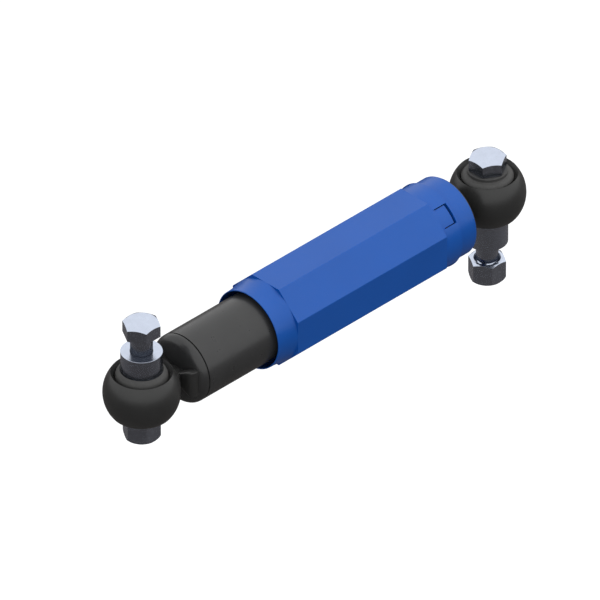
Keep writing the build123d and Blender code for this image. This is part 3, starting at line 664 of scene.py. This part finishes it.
def add_camera():
    """A camera that sees the lower eye where the photo shows it, at the distance of the object's middle."""
    right, up, back = camera_axes()
    scale = VIEW_WIDTH / PICTURE_SIDE_PX
    middle = PICTURE_SIDE_PX / 2
    target = right * (middle - LOWER_EYE_PX[0]) * scale + up * (LOWER_EYE_PX[1] - middle) * scale
    distance = VIEW_WIDTH * CAMERA_LENS_MM / CAMERA_SENSOR_MM
    data = bpy.data.cameras.new("camera")
    data.sensor_width = CAMERA_SENSOR_MM
    data.lens = CAMERA_LENS_MM
    data.clip_start = distance * CLIP_START_SHARE
    data.clip_end = distance * CLIP_END_SHARE
    camera = bpy.data.objects.new("camera", data)
    camera.location = target + back * (distance + (object_centre - target).dot(back))
    camera.rotation_mode = "QUATERNION"
    camera.rotation_quaternion = back.to_track_quat("Z", "Y")
    bpy.context.scene.collection.objects.link(camera)
    bpy.context.scene.camera = camera


def math_node(tree, operation, first, second, clamp=False):
    """The result of a math node on an output and another output or number."""
    node = tree.nodes.new("ShaderNodeMath")
    node.operation = operation
    node.use_clamp = clamp
    tree.links.new(first, node.inputs[0])
    if isinstance(second, float):
        node.inputs[1].default_value = second
    else:
        tree.links.new(second, node.inputs[1])
    return node.outputs["Value"]


def coloured(tree, kind, colour):
    """A shader node of one colour."""
    node = tree.nodes.new(kind)
    node.inputs["Color"].default_value = (*colour, 1)
    return node


def mixed(tree, share, first, second):
    """The first shader where the share is 0, and the second where it is 1."""
    node = tree.nodes.new("ShaderNodeMixShader")
    tree.links.new(share, node.inputs["Fac"])
    tree.links.new(first, node.inputs[1])
    tree.links.new(second, node.inputs[2])
    return node.outputs["Shader"]


def seen_directly(tree):
    """A value that is 1 for rays from the camera, reflections and transmission, and 0 for diffuse light."""
    path = tree.nodes.new("ShaderNodeLightPath")
    shown = math_node(tree, "MAXIMUM", path.outputs["Is Camera Ray"], path.outputs["Is Glossy Ray"])
    return math_node(tree, "MAXIMUM", shown, path.outputs["Is Transmission Ray"])


def add_plane(name, side, height):
    """A level square, and the tree of its material, which has only its output so far."""
    half = side / 2
    corners = [(-half, -half, height), (half, -half, height), (half, half, height), (-half, half, height)]
    mesh = bpy.data.meshes.new(name)
    mesh.from_pydata(corners, [], [(0, 1, 2, 3)])
    plane = bpy.data.objects.new(name, mesh)
    bpy.context.scene.collection.objects.link(plane)
    material = bpy.data.materials.new(name)
    material.use_nodes = True
    tree = material.node_tree
    tree.nodes.remove(tree.nodes["Principled BSDF"])
    mesh.materials.append(material)
    return plane, tree


def add_floor():
    """A pale floor, white to the camera apart from the object's shadow on it."""
    floor, tree = add_plane("floor", FLOOR_SIZE, object_low.z - FLOOR_DROP)
    bounce = coloured(tree, "ShaderNodeBsdfDiffuse", (FLOOR_BOUNCE, FLOOR_BOUNCE, FLOOR_BOUNCE))
    pale = coloured(tree, "ShaderNodeBsdfDiffuse", (FLOOR_PALE, FLOOR_PALE, FLOOR_PALE))
    lift = coloured(tree, "ShaderNodeEmission", WHITE)
    lift.inputs["Strength"].default_value = FLOOR_LIFT
    white = tree.nodes.new("ShaderNodeAddShader")
    tree.links.new(pale.outputs["BSDF"], white.inputs[0])
    tree.links.new(lift.outputs["Emission"], white.inputs[1])
    surface = mixed(tree, seen_directly(tree), bounce.outputs["BSDF"], white.outputs["Shader"])
    tree.links.new(surface, tree.nodes["Material Output"].inputs["Surface"])


def add_sky():
    """An even sky that lights the object softly and shows white behind it. A reflection seen in another one
    finds it dark, so that plated pieces stay dark in their corners."""
    world = bpy.data.worlds.new("sky")
    world.use_nodes = True
    tree = world.node_tree
    soft = tree.nodes["Background"]
    soft.inputs["Color"].default_value = (*SKY_COLOUR, 1)
    soft.inputs["Strength"].default_value = SKY_LEVEL
    white = coloured(tree, "ShaderNodeBackground", WHITE)
    dark = coloured(tree, "ShaderNodeBackground", (SECOND_REFLECTION, SECOND_REFLECTION, SECOND_REFLECTION))
    bright = mixed(tree, seen_directly(tree), soft.outputs["Background"], white.outputs["Background"])
    path = tree.nodes.new("ShaderNodeLightPath")
    later = math_node(tree, "GREATER_THAN", path.outputs["Glossy Depth"], SECOND_DEPTH)
    surface = mixed(tree, later, bright, dark.outputs["Background"])
    tree.links.new(surface, tree.nodes["World Output"].inputs["Surface"])
    bpy.context.scene.world = world


def add_lamp(name, towards, side, level):
    """A soft square lamp that lights surfaces but isn't seen in them."""
    direction = Vector(towards).normalized()
    data = bpy.data.lights.new(name, "AREA")
    data.size = side
    data.energy = level * math.pi * math.pi * LAMP_DISTANCE**2
    lamp = bpy.data.objects.new(name, data)
    lamp.location = object_centre + direction * LAMP_DISTANCE
    lamp.rotation_mode = "QUATERNION"
    lamp.rotation_quaternion = direction.to_track_quat("Z", "Y")
    lamp.visible_glossy = False
    bpy.context.scene.collection.objects.link(lamp)


def card_colour(tree):
    """The card's colour, from its side under the camera to its far side, half way below the object."""
    back = camera_axes()[2]
    away = Vector((-back.x, -back.y, 0)).normalized() / CARD_FADE
    place = tree.nodes.new("ShaderNodeNewGeometry")
    along = tree.nodes.new("ShaderNodeVectorMath")
    along.operation = "DOT_PRODUCT"
    along.inputs[1].default_value = away
    tree.links.new(place.outputs["Position"], along.inputs[0])
    share = math_node(tree, "ADD", along.outputs["Value"], 0.5 - object_centre.dot(away), clamp=True)
    blend = tree.nodes.new("ShaderNodeMix")
    blend.data_type = "RGBA"
    blend.inputs["A"].default_value = (*CARD_NEAR_COLOUR, 1)
    blend.inputs["B"].default_value = (*CARD_FAR_COLOUR, 1)
    tree.links.new(share, blend.inputs["Factor"])
    return blend.outputs["Result"]


def add_dark_card():
    """A wide dark card just above the floor, as a studio uses to give plated steel its dark sides."""
    card, tree = add_plane("dark_card", CARD_SIZE, object_low.z - FLOOR_DROP + CARD_LIFT)
    card.visible_camera = False
    card.visible_diffuse = False
    card.visible_shadow = False
    card.visible_transmission = False
    glow = tree.nodes.new("ShaderNodeEmission")
    tree.links.new(card_colour(tree), glow.inputs["Color"])
    tree.links.new(glow.outputs["Emission"], tree.nodes["Material Output"].inputs["Surface"])


materials = finishes()
dress_solids(materials)
add_bolts(materials["plated"])
add_spacers(materials["turned"])
add_bushes(materials["rubber"])
add_eyes(materials["black"])
add_valve_springs(materials["drawn"])
add_camera()
add_floor()
add_sky()
add_lamp("key", KEY_DIRECTION, KEY_SIZE, KEY_LEVEL)
add_lamp("fill", FILL_DIRECTION, FILL_SIZE, FILL_LEVEL)
add_dark_card()

bpy.context.scene.view_settings.view_transform = "Standard"
